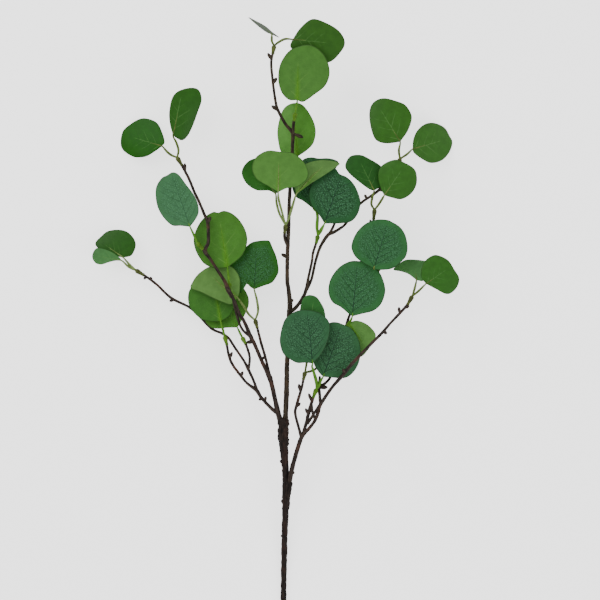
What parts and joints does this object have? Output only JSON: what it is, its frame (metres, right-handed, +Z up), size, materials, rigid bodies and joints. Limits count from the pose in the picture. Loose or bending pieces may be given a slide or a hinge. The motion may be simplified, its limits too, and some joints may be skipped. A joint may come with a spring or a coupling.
{
  "type": "eucalyptus branch",
  "caption": "An imitation silver dollar eucalyptus spray lying flat: brown bark stems with small buds, and round green leaves on thin petioles.",
  "frame": {"origin": "middle of the box of the whole spray, at the height of the surface that it lies on", "axes": "+Y runs from the cut foot of the main stem to the leaf tips, +Z up from the surface, +X to the right seen from above"},
  "size_m": [0.3676, 0.595, 0.0756],
  "materials": {
    "bark_brown": "matte",
    "bark_olive": "matte",
    "leaf_green": "satin",
    "leaf_net": "satin",
    "leaf_under": "satin"
  },
  "bodies": {
    "root": {"trunk": "bark_brown", "centre_arm": "bark_olive", "left_arm": "bark_brown", "right_arm": "bark_brown", "leaf_top_pair": "leaf_green", "leaf_top_single": "leaf_under", "leaf_behind_stem": "leaf_under", "leaf_stem_trio": "leaf_under", "leaf_mid_pair": "leaf_net", "leaf_right_top_pair": "leaf_green", "leaf_right_upper_pair": "leaf_green", "leaf_right_low_single": "leaf_net", "leaf_centre_pair": "leaf_net", "leaf_low_pair": "leaf_net", "leaf_low_single": "leaf_green", "leaf_far_right_pair": "leaf_green", "leaf_left_top_pair": "leaf_green", "leaf_left_upper_single": "leaf_net", "leaf_left_mid_single": "leaf_under", "leaf_left_inner_pair": "leaf_net", "leaf_left_low_single": "leaf_under", "leaf_left_rear_single": "leaf_green", "leaf_far_left_pair": "leaf_green"}
  },
  "joints": []
}
